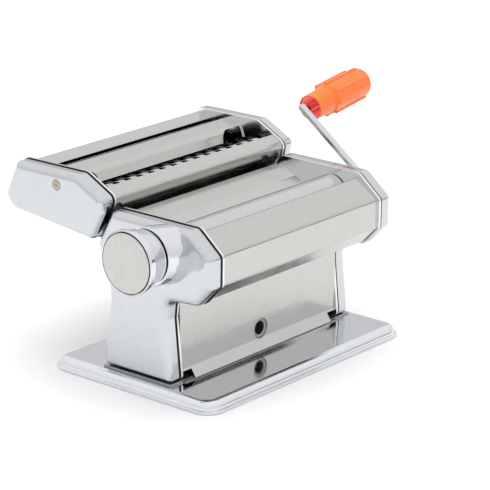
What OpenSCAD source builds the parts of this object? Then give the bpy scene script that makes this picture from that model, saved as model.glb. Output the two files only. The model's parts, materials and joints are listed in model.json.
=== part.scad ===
// Pasta roller machine: a sheeting head with two smooth rollers, a lift-off
// cutter head with two cutting pairs, a thickness knob and a crank.
// X runs along the rollers from the knob side to the crank side, Y from the
// front to the cutter head, Z up. Z = 0 is the table. Outlines are [y, z].

/* [Base] */
// Length of the base plate, along the rollers
base_l = 230; // [226:1:250]
// Depth of the base plate, front to back
base_w = 159; // [150:1:175]
// Height of the base plate's top face
base_top = 9; // [9:0.5:10]
// Corner radius of the base plate
base_r = 14; // [8:1:20]

/* [Head] */
// Clear width between the main side frames
inner_w = 180.4; // [150:0.2:181]
// Thickness of the side frames
frame_t = 2.2; // [1.5:0.1:2.4]
// Thickness of the black gaskets behind the side covers
gasket_t = 1.5; // [0.8:0.1:1.6]
// Depth of the side covers
cover_d = 11.9; // [11:0.1:13]
// Thickness of the sheet-metal covers and plates
sheet_t = 1.2; // [0.8:0.1:1.4]

/* [Sheeting rollers] */
// Radius of the two smooth rollers
roller_r = 13.2; // [13:0.1:13.4]
// Smallest gap between the smooth rollers
gap_min = 0.23; // [0.2:0.01:0.5]
// How far the knob opens the gap beyond its smallest
gap_travel = 1.9; // [1.5:0.1:2]
// Teeth on each gear
teeth = 12; // [12:2:14]
// Pressure angle of the gears
pressure_angle = 25; // [25:1:27]

/* [Crank] */
// Length of the crank arm between its two axes
arm_len = 94.2; // [80:0.1:110]
// Angle of the crank arm above the horizontal, at rest
arm_angle = 37.2; // [0:0.1:60]
// Radius of the grip over its ribs
grip_r = 14; // [13:0.1:15]
// Length of the grip
grip_l = 76; // [60:1:80]
// How far the grip leans from the shaft's direction towards the arm's
grip_tilt = 7.5; // [0:0.5:10]

/* [Knob] */
// Radius of the thickness knob's rim
knob_r = 24; // [22:0.1:25]
// How far the knob pulls out to free its index pin
knob_pull = 4; // [3:0.5:4]

/* [Cutter head] */
// Clear width between the cutter head's side frames
cut_inner_w = 190.2; // [189:0.2:191]
// Outer radius of the wide cutting rollers
wide_r = 12; // [11:0.1:12]
// Number of ribbons that the wide pair cuts
wide_count = 29; // [25:2:31]
// Outer radius of the fine cutting rollers
fine_r = 11; // [10:0.1:11]
// Number of ribbons that the fine pair cuts
fine_count = 91; // [71:2:95]

/* [Hidden] */
$fn = 64;

// Places across the machine, measured out from the centre
frame_in = inner_w / 2;
frame_out = frame_in + frame_t;
cover_in = frame_out + gasket_t;
cover_out = cover_in + cover_d;
roller_half = frame_in - 0.8;
gear_x = frame_out + 4;
gear_w = 7;
cut_in = cut_inner_w / 2;
cut_frame_t = 2;
cut_out = cut_in + cut_frame_t;
cut_cover_in = cut_out + gasket_t;
cut_cover_out = cut_cover_in + cover_d - 0.3;
cut_roller_half = cut_in - 0.7;
cut_gear_x = cut_out + 1.6;
cut_gear_w = 6;

// Axes of the sheeting rollers. The rear one slides towards the front one.
knob_axis = [-27.6, 112];
close_dir = [-cos(13), -sin(13)];
cam_e = gap_travel / 2;
rear_axis = knob_axis - cam_e * close_dir;
rest_centres = 2 * roller_r + gap_min + gap_travel;
mesh_centres = 2 * roller_r + gap_min;
front_axis = rear_axis + rest_centres * close_dir;
close_angle = atan2(close_dir[1], close_dir[0]);

// Axes of the cutting rollers
wide_front = [45, 129.6];
wide_rear = [64.5, 123.5];
fine_front = [88.5, 125.5];
fine_rear = [106.5, 129.5];

// Corners [y, z, radius] of the side frames, anticlockwise from the top back
main_corners = [[24, 131, 4], [-51.5, 131, 7], [-72.3, 113.5, 5], [-72, 91, 5],
  [-57.4, 75, 6], [-30, 73, 7], [-28.5, 58, 6], [-33, base_top + 1.4, 3.4],
  [33.3, base_top + 1.4, 3.4], [33.5, 31.7, 12], [27, 63, 14], [28, 73, 14],
  [38.9, 103.8, 5], [36.9, 108, 5]];
cutter_corners = [[116.5, 152.8, 6], [52.8, 153.3, 9], [25.6, 139, 6],
  [28.5, 127, 8], [39.5, 105.5, 5], [121.5, 114, 9], [129.2, 124.5, 7]];

// Bent plates: corners [y, z, radius] of the side that the sheet lies to the left of
front_cover_line = [[-48.2, 121.5, 0], [-48.8, 126.4, 1.6], [-51.6, 127, 2.5],
  [-69.9, 113.3, 5], [-70.2, 90.6, 5], [-57, 76.4, 2], [-55.2, 79, 0]];
hopper_line = [[24.6, 121.8, 0], [23.8, 126.6, 2], [0, 121.6, 20], [-9.5, 117.6, 6],
  [-11.4, 113.6, 0]];
front_wall_line = [[-34.4, base_top, 0], [-29, 17, 1.6], [-29, 72, 3], [-31.6, 93, 0]];
rear_wall_line = [[32, base_top + 1.4, 0], [32, 31.7, 12], [25.6, 62, 14],
  [26.6, 73, 14], [36.4, 101.6, 0]];
cutter_rear_line = [[127.8, 126, 0], [113.8, 151.7, 3], [105.6, 144.8, 1.6],
  [106.2, 141.6, 0]];
cutter_middle_line = [[88.4, 143.5, 0], [87.4, 149.5, 1.6], [70.1, 145.7, 5],
  [66.7, 136.6, 0]];
cutter_front_line = [[37.4, 144.2, 0], [27, 138.4, 5], [29.5, 127, 8], [40.2, 106.6, 0]];

// Direction in which the cutter head lifts off, and the place of its rails
lift_base = [36.9, 108];
lift_dir = unit([-15.3, 23.8]);
lift_angle = atan2(lift_dir[1], lift_dir[0]);
rail_x = 84;
rail_l = 15;

shaft_r = 4;
journal_r = 6;
run_fit = 0.05;
socket_r = 4.15;
socket_l = 16;
arm_x = cover_out + 5.7;
arm_t = 5.5;
arm_w = 5;
hub_r = 5.2;
pin_axis = front_axis + arm_len * [cos(arm_angle), sin(arm_angle)];
knob_face = -cover_out - 39.4;
screw_r = 3.4;

// ---- Outline tools ----
function unit(v) = v / norm(v);
function left_of(v) = [-v[1], v[0]];

// The round corner at p between its neighbours a and b
function fillet(a, p, b, r, n) =
  r == 0 ? [p] :
  let (u = unit(a - p), v = unit(b - p), half = acos(u * v) / 2,
       c = p + unit(u + v) * r / sin(half),
       s = p + u * r / tan(half) - c, e = p + v * r / tan(half) - c,
       a0 = atan2(s[1], s[0]), turn = (atan2(e[1], e[0]) - a0 + 540) % 360 - 180)
  [for (i = [0 : n]) c + r * [cos(a0 + turn * i / n), sin(a0 + turn * i / n)]];

function xy(c) = [c[0], c[1]];

// A closed outline from corners [y, z, radius]
function outline(c, n = 5) = let (m = len(c))
  [for (i = [0 : m - 1])
    each fillet(xy(c[(i + m - 1) % m]), xy(c[i]), xy(c[(i + 1) % m]), c[i][2], n)];

// An open line from corners [y, z, radius]; its two ends stay as they are
function bent_line(c, n = 4) = let (m = len(c))
  [xy(c[0]),
   for (i = [1 : m - 2]) each fillet(xy(c[i - 1]), xy(c[i]), xy(c[i + 1]), c[i][2], n),
   xy(c[m - 1])];

// The point t to the left of b, on the line a, b, c
function beside(a, b, c, t) =
  let (n0 = left_of(unit(b - a)), n1 = left_of(unit(c - b)), m = unit(n0 + n1))
  b + m * t / (m * n0);

// A closed outline moved in by t
function inset(p, t) = let (m = len(p))
  [for (i = [0 : m - 1]) beside(p[(i + m - 1) % m], p[i], p[(i + 1) % m], t)];

// A strip of sheet, t thick, to the left of an open line
function strip(p, t) = let (m = len(p),
    first = p[0] + left_of(unit(p[1] - p[0])) * t,
    last = p[m - 1] + left_of(unit(p[m - 1] - p[m - 2])) * t)
  concat(p, [last],
    [for (i = [m - 2 : -1 : 1]) beside(p[i - 1], p[i], p[i + 1], t)], [first]);

// ---- Solids shared by several parts ----
// An outline in [y, z], extruded along X
module along_x(x0, x1) {
  translate([x0, 0, 0]) rotate([90, 0, 90]) linear_extrude(x1 - x0) children();
}

module rod_x(x0, x1, r, at) {
  translate([x0, at[0], at[1]]) rotate([0, 90, 0]) cylinder(h = x1 - x0, r = r);
}

module on_left() {
  mirror([1, 0, 0]) children();
}

module both_sides() {
  children();
  on_left() children();
}

module bent_sheet(corners, half) {
  along_x(-half, half) polygon(strip(bent_line(corners), sheet_t));
}

// The obround path of a circle of radius r, swept from the rest axis to the closed one
module slide_slot(r) {
  for (d = [0, gap_travel]) translate(rear_axis + d * close_dir) circle(r);
  translate(rear_axis) rotate(close_angle) translate([0, -r]) square([gap_travel, 2 * r]);
}

module gasket(corners, x0, width) {
  shape = outline(corners);
  along_x(x0, x0 + gasket_t) difference() {
    polygon(shape);
    polygon(inset(shape, width));
  }
}

// A pan-shaped cover, open towards the frame
module pan(corners, x0, x1) {
  shape = inset(outline(corners), 0.2);
  difference() {
    along_x(x0, x1) polygon(shape);
    along_x(x0 - 1, x1 - sheet_t) polygon(inset(shape, sheet_t));
  }
}

// A countersunk screw head with a cross slot, its face at x and its shank inwards
module cross_screw(x, at, r, l) {
  translate([x, at[0], at[1]]) rotate([0, 90, 0]) difference() {
    union() {
      translate([0, 0, -0.2]) cylinder(h = 1.4, r = r);
      translate([0, 0, -l]) cylinder(h = l, r = 1.5);
    }
    for (a = [0, 90]) rotate(a) translate([-r * 0.6, -0.35, 0.4]) cube([r * 1.2, 0.7, 2]);
  }
}

// ---- Involute gears ----
function inv_angle(r, rb) =
  let (t = sqrt(max(0, pow(r / rb, 2) - 1))) t * 180 / PI - atan(t);

// One spur gear for the given centre distance, with a tooth or a gap at first_angle
module gear(centres, x0, width, at, first_angle, hole_r) {
  pitch_r = centres / 2;
  m = centres / teeth;
  rb = pitch_r * cos(pressure_angle);
  tip_r = pitch_r + 0.8 * m;
  root_r = pitch_r - 1.25 * m;
  play = 0.12;
  half = 90 / teeth - play / pitch_r * 180 / PI + inv_angle(pitch_r, rb);
  steps = 5;
  flank = [for (i = [0 : steps])
    let (r = rb + (tip_r - rb) * i / steps) [r, half - inv_angle(r, rb)]];
  tooth = concat([[root_r, -half]], [for (f = flank) [f[0], -f[1]]],
    [for (i = [steps : -1 : 0]) flank[i]], [[root_r, half]]);
  translate([x0, at[0], at[1]]) rotate([90, 0, 90]) linear_extrude(width) difference() {
    polygon([for (k = [0 : teeth - 1], p = tooth)
      p[0] * [cos(p[1] + first_angle + k * 360 / teeth),
              sin(p[1] + first_angle + k * 360 / teeth)]]);
    circle(hole_r);
  }
}

function angle_to(a, b) = atan2(b[1] - a[1], b[0] - a[0]);
half_pitch = 180 / teeth;

// ---- Base ----
function base_outline(margin) =
  let (x = base_l / 2 - margin, y = base_w / 2 - margin, r = base_r - margin)
  outline([[x, y, r], [-x, y, r], [-x, -y, r], [x, -y, r]], 6);

bolt_x = frame_in - 5;
bolt_y = 18;
foot_h = 1.4;

module base_plate() {
  rim = 3.4;
  flange_h = 2.4;
  color("#bfc2c8") difference() {
    union() {
      linear_extrude(flange_h) polygon(base_outline(0));
      linear_extrude(base_top - 1.4) polygon(base_outline(1.6));
      linear_extrude(base_top) polygon(base_outline(rim));
    }
    translate([0, 0, -1]) linear_extrude(base_top - sheet_t + 1)
      polygon(base_outline(rim + sheet_t));
    for (x = [-1, 1], y = [-1, 1])
      translate([x * bolt_x, y * bolt_y, 0]) cylinder(h = base_top + 1, r = 2.6);
  }
}

module rubber_feet() {
  under = base_top - sheet_t;
  color("#1c1c1e") for (x = [-1, 1], y = [-1, 1])
    translate([x * (base_l / 2 - 18), y * (base_w / 2 - 18), 0]) difference() {
      cylinder(h = under, r = 8);
      translate([0, 0, -1]) cylinder(h = 4, r = 3);
    }
}

module foot_strips() {
  color("#8d9096") both_sides() difference() {
    translate([frame_in - 11, -33, base_top]) cube([cover_out - frame_in + 10, 66, foot_h]);
    for (y = [-1, 1])
      translate([bolt_x, y * bolt_y, base_top - 1]) cylinder(h = foot_h + 2, r = 2.6);
  }
}

module frame_bolts() {
  under = base_top - sheet_t;
  above = base_top + foot_h + frame_t;
  color("#a9abb0") for (x = [-1, 1], y = [-1, 1]) translate([x * bolt_x, y * bolt_y, 0]) {
    translate([0, 0, under - 3.2]) cylinder(h = 3.2, r = 4.5);
    translate([0, 0, under - 0.5]) cylinder(h = above - under + 5, r = 2.5);
    translate([0, 0, above]) cylinder(h = 3, r = 4.4, $fn = 6);
  }
}

// ---- Main side frames and covers ----
tie_rods_at = [[8, 108], [-6, 82], [12, 46]];
cover_screws_at = [[16, 122], [-22, 20], [22, 20]];

module side_frame() {
  difference() {
    union() {
      along_x(frame_in, frame_out) polygon(outline(main_corners));
      translate([frame_in - 10, -26, base_top + foot_h]) cube([10.5, 52, frame_t]);
    }
    rod_x(frame_in - 1, frame_out + 1, journal_r + 2.5, front_axis);
    along_x(frame_in - 1, frame_out + 1) slide_slot(journal_r + 1);
    for (at = tie_rods_at) rod_x(frame_in - 1, frame_out + 1, 2.1, at);
    for (y = [-1, 1]) translate([bolt_x, y * bolt_y, base_top]) cylinder(h = 6, r = 2.6);
  }
}

module left_side_frame() {
  color("#d4d6da") on_left() side_frame();
}

module right_side_frame() {
  color("#d4d6da") difference() {
    side_frame();
    for (at = cover_screws_at) rod_x(frame_in + 0.6, frame_out + 1, 1.6, at);
  }
}

module left_frame_gasket() {
  color("#101012") on_left() gasket(main_corners, frame_out, 3);
}

module right_frame_gasket() {
  color("#101012") gasket(main_corners, frame_out, 3);
}

// The collar under the knob holds this cover
module left_side_cover() {
  color("#e2e4ea") difference() {
    on_left() pan(main_corners, cover_in, cover_out);
    rod_x(-cover_out - 1, -cover_in, 11, knob_axis);
  }
}

// Three screws hold this cover, clear of the gears behind it
module right_side_cover() {
  color("#e2e4ea") difference() {
    pan(main_corners, cover_in, cover_out);
    rod_x(cover_in, cover_out + 1, 7.5, front_axis);
    for (at = cover_screws_at) rod_x(cover_out - 2, cover_out + 1, 1.7, at);
  }
}

module cover_screws() {
  color("#c9b98a") for (at = cover_screws_at)
    cross_screw(cover_out + 0.2, at, screw_r, cover_out - frame_out);
}

module tie_rods() {
  color("#9c9ea3") for (at = tie_rods_at) rod_x(-frame_in, frame_in, 4, at);
}

module tie_rod_screws() {
  color("#b0b2b6") both_sides() for (at = tie_rods_at) {
    rod_x(frame_in, frame_out, 2, at);
    rod_x(frame_out, frame_out + 2.4, 4, at);
  }
}

// ---- Plates between the main side frames ----
module front_roller_cover() {
  color("#c8c8c6") bent_sheet(front_cover_line, frame_in);
}

// Its rear edge has a notch at each rail, for the cutter head's tongue
module hopper_rear_plate() {
  notch_half = 3.6;
  notch_y = 21.4;
  color("#c8c8c6") difference() {
    bent_sheet(hopper_line, frame_in);
    both_sides() translate([rail_x - notch_half, notch_y, 115]) cube([2 * notch_half, 5, 15]);
  }
}

module front_lower_wall() {
  color("#c8c8c6") difference() {
    bent_sheet(front_wall_line, frame_in);
    translate([0, -20, clamp_z]) rotate([90, 0, 0]) cylinder(h = 20, r = clamp_wall_r);
    for (x = [-1, 1]) translate([x * (bolt_x + 5), -26, base_top + 3]) cube([21, 20, 8], true);
  }
}

module rear_lower_wall() {
  color("#c8c8c6") bent_sheet(rear_wall_line, frame_in);
}

clamp_r = 5.25;
clamp_wall_r = 8;
clamp_z = 25;
clamp_l = 42;

module clamp_socket() {
  color("#8b8d92") translate([0, -29.6, clamp_z]) rotate([-90, 0, 0]) difference() {
    cylinder(h = clamp_l, r = clamp_wall_r);
    translate([0, 0, -1]) cylinder(h = clamp_l - 2, r = clamp_r);
  }
}

front_scraper_at = -122;
rear_scraper_at = -40;
scraper_t = 1.6;
scraper_rake = 55;

// A blade whose edge stands clear of the roller at centre c, along angle a
module scraper(c, a, clear, l) {
  edge = c + (roller_r + clear) * [cos(a), sin(a)];
  along_x(-frame_in, frame_in) translate(edge) rotate(a + scraper_rake)
    polygon([[0, 0], [l, 0], [l, scraper_t], [1.2, scraper_t]]);
}

module roller_scrapers() {
  color("#e8e8e4") {
    scraper(front_axis, front_scraper_at, 0.5, 9);
    scraper(rear_axis, rear_scraper_at, 0.6, 12);
  }
}

module front_roller_bushes() {
  color("#c9a860") both_sides() difference() {
    union() {
      rod_x(frame_in, frame_out, journal_r + 2.5, front_axis);
      rod_x(frame_out, frame_out + 1.8, journal_r + 4, front_axis);
    }
    rod_x(frame_in - 1, frame_out + 3, journal_r + run_fit, front_axis);
  }
}

block_half_l = 12;
block_half_w = 9.5;

// The area of a bearing block, in its own axes: slide direction first
module block_area(extra_l, extra_w) {
  translate(rear_axis) rotate(close_angle)
    translate([-block_half_l - extra_l, -block_half_w - extra_w])
      square([2 * (block_half_l + extra_l), 2 * (block_half_w + extra_w)]);
}

module carriage_guides() {
  color("#9c9ea3") both_sides() along_x(frame_out, frame_out + 2.6) difference() {
    block_area(1, 2.6);
    block_area(5, 0.15);
    translate(front_axis) circle(mesh_centres / 2 + 3);
  }
}

index_r = 16;
index_pin_r = 1.6;
groove_half = 2.1;
groove_d = 3.4;
settings = 9;
ring_r = 22;
ring_l = 17.7;
ring_out = cover_out + ring_l;
ring_lean = [-3.3, -2.5];
ring_steps = 6;

// The collar under the knob. Its foot lies lower and further forward than its face,
// below the round top edge of the cover. In the face there is a plain groove for the
// pin, with a dimple in its floor for each setting.
module index_ring() {
  step = ring_l / ring_steps;
  color("#dcdde1") difference() {
    union() {
      for (i = [0 : ring_steps - 1])
        rod_x(-cover_out - (i + 1) * step, -cover_out - i * step, ring_r,
          knob_axis + ring_lean * (1 - (i + 0.5) / ring_steps));
      rod_x(-cover_out - 1, -cover_out + 3, 11, knob_axis);
    }
    rod_x(-ring_out - 1, -cover_in, dial_r + run_fit, knob_axis);
    difference() {
      rod_x(-ring_out - 1, -ring_out + groove_d, index_r + groove_half, knob_axis);
      rod_x(-ring_out - 2, -ring_out + groove_d + 1, index_r - groove_half, knob_axis);
    }
    for (i = [0 : settings - 1])
      rod_x(-ring_out + groove_d - 1, -ring_out + groove_d + 1.6, index_pin_r + 0.2,
        knob_axis + index_r * [-sin(i * 180 / (settings - 1)), cos(i * 180 / (settings - 1))]);
  }
}

// ---- Cutter head's rails and tongues: T slots along the lift direction ----
// Children are drawn in [x, outwards] and extruded along the lift direction
module along_lift(start, l) {
  translate([0, lift_base[0] + lift_dir[0] * start, lift_base[1] + lift_dir[1] * start])
    rotate([lift_angle - 90, 0, 0]) linear_extrude(l) children();
}

stem_half = 1.3;
head_half = 3;
head_t = 1.2;
head_out = -1.4;
slot_fit = 0.3;

module head_rails() {
  bar_in = rail_x - 5;
  bar_t = 5;
  bar_out = 0.6;
  neck_half = stem_half + slot_fit;
  wide_half = head_half + slot_fit;
  color("#3a3b3e") both_sides() along_lift(0.5, rail_l) difference() {
    translate([bar_in, bar_out - bar_t]) square([frame_in - bar_in, bar_t]);
    translate([rail_x - neck_half, head_out - 0.1]) square([2 * neck_half, 4]);
    translate([rail_x - wide_half, head_out - head_t - slot_fit])
      square([2 * wide_half, head_t + 2 * slot_fit]);
  }
}

module cutter_tongues() {
  color("#1a1a1c") both_sides() difference() {
    along_lift(0.7, rail_l) {
      translate([rail_x - stem_half, head_out - 0.1]) square([2 * stem_half, 8]);
      translate([rail_x - head_half, head_out - head_t]) square([2 * head_half, head_t]);
    }
    along_x(0, cut_in) polygon([xy(cutter_front_line[2]), xy(cutter_front_line[3]),
      xy(cutter_front_line[3]) + [20, 0], xy(cutter_front_line[2]) + [40, 0]]);
  }
}

// ---- Driven roller, gear and crank ----
// The socket for the crank: a round bore with a key slot
module drive_socket(end_out, at, depth) {
  rod_x(end_out - depth, end_out + 1, socket_r, at);
  along_x(end_out - depth, end_out + 1) translate(at) translate([-1.2, 0]) square([2.4, 5.2]);
}

journal_out = cover_out - 2;

module front_roller() {
  color("#b9babd") difference() {
    union() {
      rod_x(-roller_half, roller_half, roller_r, front_axis);
      rod_x(-frame_out - 3, journal_out, journal_r, front_axis);
    }
    drive_socket(journal_out, front_axis, socket_l);
  }
}

module front_roller_gear() {
  color("#8f8468") gear(mesh_centres, gear_x, gear_w, front_axis,
    angle_to(front_axis, rear_axis), journal_r);
}

key_l = 10;

module crank_shaft() {
  key_x = journal_out - socket_l + 2;
  color("#c6c8cc") {
    rod_x(key_x - 1, arm_x + arm_t, shaft_r, front_axis);
    along_x(key_x, key_x + key_l) translate(front_axis) translate([-1, 0]) square([2, 5]);
  }
}

// Children are drawn along the grip's axis: Z runs along it from the arm's far face
module on_grip_axis() {
  translate([arm_x + arm_t, pin_axis[0], pin_axis[1]])
    rotate(a = grip_tilt, v = [0, -sin(arm_angle), cos(arm_angle)]) rotate([0, 90, 0])
      children();
}

pin_r = 3;
tip_l = 5.8;

module crank_arm() {
  color("#cfd0d2") difference() {
    along_x(arm_x, arm_x + arm_t) difference() {
      union() {
        translate(front_axis) circle(hub_r);
        translate(front_axis) rotate(arm_angle) translate([0, -arm_w / 2])
          square([arm_len + tip_l - arm_w / 2, arm_w]);
        translate(front_axis) rotate(arm_angle) translate([arm_len + tip_l - arm_w / 2, 0])
          circle(arm_w / 2);
      }
      translate(front_axis) circle(shaft_r);
    }
    on_grip_axis() translate([0, 0, -socket_in]) cylinder(h = socket_in + 2, r = rivet_r);
  }
}

rivet_r = 1.8;
socket_in = arm_t - 1;
grip_at = 4.4;
grip_bore = 4.2;
washer_r = 3.4;
collar_l = 21;
pin_l = grip_at + grip_l - 14;

module grip_pin() {
  color("#c6c8cc") on_grip_axis() {
    translate([0, 0, -socket_in]) cylinder(h = socket_in + 1, r = rivet_r);
    translate([0, 0, 0.6]) cylinder(h = pin_l - 0.6, r = pin_r);
    translate([0, 0, 1]) cylinder(h = 1, r = washer_r);
    translate([0, 0, grip_at + collar_l]) cylinder(h = pin_l - 4 - grip_at - collar_l,
      r = grip_bore - 0.1);
  }
}

module grip_retainer() {
  color("#9c9ea3") on_grip_axis() difference() {
    translate([0, 0, pin_l - 3.6]) cylinder(h = 1.4, r = 5.6);
    translate([0, 0, pin_l - 5]) cylinder(h = 5, r = pin_r);
  }
}

neck_r = 10.3;
core_r = 12.3;
ribs = 8;
rib_w = 2.4;
rib_from = 22;
rib_l = 46;

// A moulded grip: a smooth collar with a deep hollow, then a ribbed body with a dome
module handle_grip() {
  body_from = 23;
  dome_r = 6;
  body_to = grip_l - dome_r;
  color("#ff7f45") on_grip_axis() translate([0, 0, grip_at]) difference() {
    union() {
      rotate_extrude() polygon([[0, 0], [neck_r, 0], [neck_r + 0.5, body_from - 3],
        [core_r, body_from], [core_r, body_to], for (i = [1 : 5])
          [core_r - dome_r + dome_r * cos(i * 18), body_to + dome_r * sin(i * 18)],
        [0, grip_l]]);
      for (i = [0 : ribs - 1]) rotate(i * 360 / ribs)
        translate([core_r / 2, -rib_w / 2, rib_from])
          cube([grip_r - core_r / 2, rib_w, rib_l]);
    }
    translate([0, 0, -1]) cylinder(h = collar_l, r = neck_r - 1.6);
    translate([0, 0, collar_l - 2]) cylinder(h = pin_l - grip_at - collar_l - 2, r = grip_bore);
    translate([0, 0, pin_l - grip_at - 4.2]) cylinder(h = 6, r = 6);
  }
}

// ---- Adjustable roller and its carriage ----
block_x = frame_out + 0.3;

module left_bearing_block() {
  cam_slot = 3.2;
  color("#b59b5e") on_left() difference() {
    along_x(block_x, block_x + 7.4) block_area(0, 0);
    rod_x(block_x - 1, block_x + 4, journal_r + run_fit, rear_axis);
    translate([block_x + 4.8, rear_axis[0], rear_axis[1]]) rotate([close_angle, 0, 0])
      translate([0, -cam_slot, -cam_slot - cam_e])
        cube([4, 2 * cam_slot, 2 * (cam_slot + cam_e)]);
  }
}

module right_bearing_block() {
  color("#b59b5e") difference() {
    along_x(block_x, block_x + 3.2) block_area(0, 0);
    rod_x(block_x - 1, block_x + 5, journal_r + run_fit, rear_axis);
  }
}

module rear_roller() {
  color("#b9babd") {
    rod_x(-roller_half, roller_half, roller_r, rear_axis);
    rod_x(-block_x - 3.8, -roller_half, journal_r, rear_axis);
    rod_x(roller_half, gear_x + gear_w + 1, journal_r, rear_axis);
  }
}

module rear_roller_gear() {
  color("#8f8468") gear(mesh_centres, gear_x, gear_w, rear_axis,
    angle_to(rear_axis, front_axis) + half_pitch, journal_r);
}

// ---- Thickness knob ----
dial_r = 5;
dial_end = -knob_face - 5;
knob_in = ring_out + 1;
knob_back_r = 20.2;
knob_bore_r = 9;
spring_seat = knob_in + 2;

// The shaft that the knob slides on, with its eccentric pin in the left block
module dial_shaft() {
  cam_in = block_x + 5.2;
  disc_in = block_x + 7.7;
  color("#c6c8cc") {
    rod_x(-disc_in, -cam_in, 2.5, rear_axis);
    rod_x(-disc_in - 1.9, -disc_in, 8, knob_axis);
    rod_x(-dial_end, -disc_in - 1.9, dial_r, knob_axis);
    rod_x(-dial_end - 1.6, -dial_end, 8, knob_axis);
  }
}

// The knob widens from its back to its rim
module knob_body() {
  rim_in = knob_in + 15;
  color("#d7d8db") translate([0, knob_axis[0], knob_axis[1]]) rotate([0, -90, 0])
    difference() {
      union() {
        translate([0, 0, knob_in]) cylinder(h = rim_in - knob_in, r1 = knob_back_r,
          r2 = knob_r - 0.3);
        translate([0, 0, rim_in]) cylinder(h = -knob_face - 1.4 - rim_in, r = knob_r);
      }
      translate([0, 0, spring_seat]) cylinder(h = 40, r = knob_bore_r);
      translate([0, 0, knob_in - 1]) cylinder(h = 30, r = dial_r + run_fit);
      translate([index_r, 0, knob_in - 1]) cylinder(h = 9, r = index_pin_r);
    }
}

module knob_cap() {
  color("#d2d0cc") translate([0, knob_axis[0], knob_axis[1]]) rotate([0, -90, 0]) {
    translate([0, 0, -knob_face - 1.4]) cylinder(h = 0.8, r = knob_r - 0.4);
    translate([0, 0, -knob_face - 0.6]) cylinder(h = 0.6, r = knob_r - 1.6);
    translate([0, 0, -knob_face - 3]) cylinder(h = 1.7, r = knob_bore_r);
  }
}

module index_pin() {
  color("#8d9096") translate([0, knob_axis[0], knob_axis[1]]) rotate([0, -90, 0])
    translate([index_r, 0, knob_in - groove_d]) cylinder(h = groove_d + 8, r = index_pin_r);
}

// Drawn as short as the pulled knob leaves it
module knob_spring() {
  coils = 3;
  wire = 0.6;
  room = dial_end - spring_seat - knob_pull - 0.6;
  color("#7d7f84") translate([0, knob_axis[0], knob_axis[1]]) rotate([0, -90, 0])
    for (i = [0 : coils - 1])
      translate([0, 0, dial_end - wire - i * (room - 2 * wire) / (coils - 1)])
        rotate_extrude() translate([7, 0]) circle(wire);
}

// ---- Cutter head ----
module cutter_frame() {
  difference() {
    along_x(cut_in, cut_out) polygon(outline(cutter_corners));
    for (at = [wide_front, wide_rear, fine_front, fine_rear])
      rod_x(cut_in - 1, cut_out + 1, cut_journal_r + run_fit, at);
  }
}

cut_journal_r = 5.2;
cut_screw = [73, 142];

module cutter_left_frame() {
  color("#d4d6da") on_left() cutter_frame();
}

module cutter_right_frame() {
  color("#d4d6da") cutter_frame();
}

module cutter_left_gasket() {
  color("#101012") on_left() gasket(cutter_corners, cut_out, 2.6);
}

module cutter_right_gasket() {
  color("#101012") gasket(cutter_corners, cut_out, 2.6);
}

module cutter_cover() {
  difference() {
    pan(cutter_corners, cut_cover_in, cut_cover_out);
    rod_x(cut_cover_out - 2, cut_cover_out + 1, 1.7, cut_screw);
  }
}

module cutter_left_cover() {
  color("#e2e4ea") on_left() cutter_cover();
}

module cutter_right_cover() {
  color("#e2e4ea") difference() {
    cutter_cover();
    for (at = [wide_front, fine_front]) rod_x(cut_cover_in, cut_cover_out + 1, 7, at);
  }
}

module cutter_cover_screws() {
  color("#c9b98a") both_sides()
    cross_screw(cut_cover_out + 0.2, cut_screw, screw_r, cut_cover_out - cut_out);
}

module cutter_rear_plate() {
  color("#c8c8c6") bent_sheet(cutter_rear_line, cut_in);
}

window_in = 68;
window_top = 145.6;
window_flange = 1.3;

// Its front lip is cut away at both ends, and leaves a narrow flange at the frame
module cutter_middle_plate() {
  window_out = cut_in - window_flange;
  color("#c8c8c6") difference() {
    bent_sheet(cutter_middle_line, cut_in);
    both_sides() translate([0, 71, 0]) rotate([90, 0, 0]) linear_extrude(10)
      polygon(bent_line([[window_in, 130, 0], [window_in + 5, window_top, 8],
        [window_out, window_top, 0], [window_out, 130, 0]]));
  }
}

module cutter_front_plate() {
  color("#c8c8c6") bent_sheet(cutter_front_line, cut_in);
}

combs_at = [[44, 112], [62, 108.6], [86, 111.2], [106, 114.6]];

// Scraper bars below the cutting rollers
module cutter_combs() {
  color("#8b8d92") for (at = combs_at) along_x(-cut_in, cut_in) translate(at) square([5, 2]);
}

wide_depth = 4.2;
fine_depth = 4;
roller_end = 2;

// A grooved roller: lands of the ribbon's width, with grooves of the same width
// between them. A roller that starts with a land meets one that starts with a groove.
module grooved_roller(at, r, depth, count, starts_with_land) {
  half = cut_roller_half - roller_end;
  pitch = 2 * half / count;
  fit = 0.12;
  lands = [for (i = [0 : count - 1])
    if ((i % 2 == 0) == starts_with_land) -half + i * pitch];
  translate([0, at[0], at[1]]) rotate([0, 90, 0]) rotate_extrude() polygon(concat(
    [[0, -cut_roller_half], [r - depth, -cut_roller_half]],
    [for (z = lands) each [[r - depth, z + fit], [r, z + fit],
      [r, z + pitch - fit], [r - depth, z + pitch - fit]]],
    [[r - depth, cut_roller_half], [0, cut_roller_half]]));
  rod_x(-cut_out - 3, -cut_roller_half, cut_journal_r, at);
}

cut_end = cut_cover_out - 2;

// The roller of each pair that the crank turns, with its socket
module cutter_driver(at, r, depth, count) {
  difference() {
    union() {
      grooved_roller(at, r, depth, count, false);
      rod_x(cut_roller_half, cut_end, cut_journal_r, at);
    }
    rod_x(cut_end - socket_l, cut_end + 1, socket_r, at);
  }
}

module cutter_follower(at, r, depth, count) {
  grooved_roller(at, r, depth, count, true);
  rod_x(cut_roller_half, cut_gear_x + cut_gear_w + 0.5, cut_journal_r, at);
}

module wide_front_roller() {
  color("#b9babd") cutter_driver(wide_front, wide_r, wide_depth, wide_count);
}

module wide_rear_roller() {
  color("#b9babd") cutter_follower(wide_rear, wide_r, wide_depth, wide_count);
}

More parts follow.
